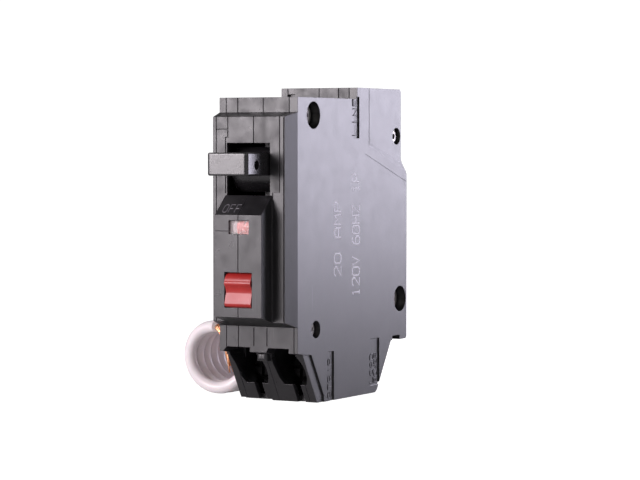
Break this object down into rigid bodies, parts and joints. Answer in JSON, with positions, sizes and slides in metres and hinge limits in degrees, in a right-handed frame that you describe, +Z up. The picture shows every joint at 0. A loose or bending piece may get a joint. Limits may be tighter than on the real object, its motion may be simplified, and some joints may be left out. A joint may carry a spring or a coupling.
{
  "type": "ground-fault circuit breaker",
  "caption": "Plug-on ground-fault circuit breaker: black moulded case with toggle handle, red test button, trip indicator, wire terminals and coiled white pigtail.",
  "frame": {"origin": "middle of the breaker's width and depth, handle included, on the surface that its load end stands on", "axes": "+X to the right seen from the handle's side, +Y from the handle towards the back, +Z up towards the line end"},
  "size_m": [0.0485, 0.0838, 0.0897],
  "materials": {
    "case_black": "fine matt moulded thermoset",
    "handle_black": "satin moulded thermoset",
    "rivet_steel": "plated, tool marks at the rolled end",
    "copper": "bright stamped copper",
    "copper_strands": "bright stranded copper",
    "silver": "satin silver alloy",
    "spring_steel": "drawn wire",
    "steel": "zinc plated",
    "fibre": "vulcanised fibre",
    "bimetal": "rolled bimetal strip",
    "brass": "turned brass",
    "bobbin_white": "moulded nylon",
    "winding": "enamelled copper wire",
    "toroid_tape": "wound and taped",
    "board_green": "solder mask",
    "chip_black": "moulded epoxy",
    "capacitor_sleeve": "shrink sleeve",
    "varistor_blue": "dipped epoxy",
    "resistor_tan": "lacquered",
    "button_red": "satin moulded, light wear",
    "indicator_red": "moulded",
    "lens_clear": "clear moulded window",
    "lug_tin": "tin plated",
    "screw_black": "black plated",
    "insulation_black": "extruded",
    "insulation_white": "extruded, slight sheen",
    "insulation_white_bush": "moulded bush"
  },
  "bodies": {
    "root": {"left_cover": "case_black", "left_case": "case_black", "right_case": "case_black", "right_cover": "case_black", "large_rivets": "rivet_steel", "small_rivets": "rivet_steel", "fixed_contact": "silver", "line_jaw": "copper", "jaw_spring": "spring_steel", "arc_plates": "steel", "arc_chute_liner": "fibre", "bimetal": "bimetal", "magnet_yoke": "steel", "bimetal_strap": "copper", "calibration_screw": "brass", "handle_pin": "steel", "arm_pin": "steel", "cradle_pin": "steel", "armature_pin": "steel", "solenoid_bobbin": "bobbin_white", "solenoid_winding": "winding", "solenoid_frame": "steel", "differential_transformer": "toroid_tape", "grounded_neutral_transformer": "toroid_tape", "circuit_board": "board_green", "controller_chip": "chip_black", "capacitors": "capacitor_sleeve", "varistor": "varistor_blue", "resistors": "resistor_tan", "thyristor": "chip_black", "test_contact": "spring_steel", "indicator_lens": "lens_clear", "load_lug": "lug_tin", "neutral_lug": "lug_tin", "load_wire": "insulation_black", "neutral_wire": "insulation_white", "contact_braid": "copper", "strain_relief": "insulation_white_bush", "pigtail_lead": "insulation_white", "pigtail_coil": "insulation_white", "pigtail_bare_end": "copper_strands", "toggle_spring": "spring_steel", "test_spring": "spring_steel", "plunger_spring": "spring_steel", "armature_spring": "spring_steel"},
    "handle": {"handle": "handle_black"},
    "contact_arm": {"contact_arm": "copper", "moving_contact": "silver"},
    "cradle": {"cradle": "steel"},
    "indicator": {"indicator_drum": "indicator_red"},
    "test_button": {"test_button": "button_red"},
    "armature": {"armature": "steel"},
    "plunger": {"trip_plunger": "steel"},
    "load_clamp": {"load_clamp_plate": "screw_black"},
    "load_screw": {"load_screw": "screw_black"},
    "neutral_clamp": {"neutral_clamp_plate": "screw_black"},
    "neutral_screw": {"neutral_screw": "screw_black"}
  },
  "joints": [
    {"name": "handle_turn", "type": "hinge", "parent": "root", "child": "handle", "pos_m": [0, -0.0207, 0.0662], "axis": [-1, 0, 0], "range_deg": [-24, 13.5]},
    {"name": "contact_arm_swing", "type": "hinge", "parent": "root", "child": "contact_arm", "pos_m": [-0.0078, -0.0097, 0.06], "axis": [1, 0, 0], "range_deg": [-15.6, 8.78], "deforming": ["toggle_spring", "contact_braid"]},
    {"name": "cradle_turn", "type": "hinge", "parent": "root", "child": "cradle", "pos_m": [-0.0044, 0.0013, 0.056], "axis": [1, 0, 0], "range_deg": [0, 10]},
    {"name": "indicator_turn", "type": "hinge", "parent": "root", "child": "indicator", "pos_m": [0, -0.0305, 0.0502], "axis": [1, 0, 0], "range_deg": [0, 60]},
    {"name": "test_button_press", "type": "slide", "parent": "root", "child": "test_button", "axis": [0, 1, 0], "range_m": [0, 0.0018], "stiffness_N_per_m": 300, "springref_m": -0.003, "deforming": ["test_spring"]},
    {"name": "plunger_stroke", "type": "slide", "parent": "root", "child": "plunger", "axis": [0, 1, 0], "range_m": [0, 0.0026], "stiffness_N_per_m": 200, "springref_m": -0.002, "deforming": ["plunger_spring"]},
    {"name": "armature_pull", "type": "hinge", "parent": "root", "child": "armature", "pos_m": [-0.006, 0.0051, 0.0456], "axis": [1, 0, 0], "range_deg": [0, 8]},
    {"name": "load_clamp_slide", "type": "slide", "parent": "root", "child": "load_clamp", "axis": [0, 1, 0], "range_m": [0, 0.0024]},
    {"name": "load_screw_turn", "type": "hinge", "parent": "load_clamp", "child": "load_screw", "pos_m": [0.0063, -0.0087, 0.0098], "axis": [0, 1, 0], "range_deg": [0, 1080]},
    {"name": "neutral_clamp_slide", "type": "slide", "parent": "root", "child": "neutral_clamp", "axis": [0, 1, 0], "range_m": [0, 0.0024]},
    {"name": "neutral_screw_turn", "type": "hinge", "parent": "neutral_clamp", "child": "neutral_screw", "pos_m": [-0.0063, -0.0087, 0.0098], "axis": [0, 1, 0], "range_deg": [0, 1080]}
  ],
  "couplings": [
    {"joint": "contact_arm_swing", "follows": "handle_turn", "ratio": 0.65},
    {"joint": "indicator_turn", "follows": "cradle_turn", "ratio": 6},
    {"joint": "armature_pull", "follows": "plunger_stroke", "rad_per_m": 53.6},
    {"joint": "load_screw_turn", "follows": "load_clamp_slide", "rad_per_m": 7853.2},
    {"joint": "neutral_screw_turn", "follows": "neutral_clamp_slide", "rad_per_m": 7853.2}
  ]
}
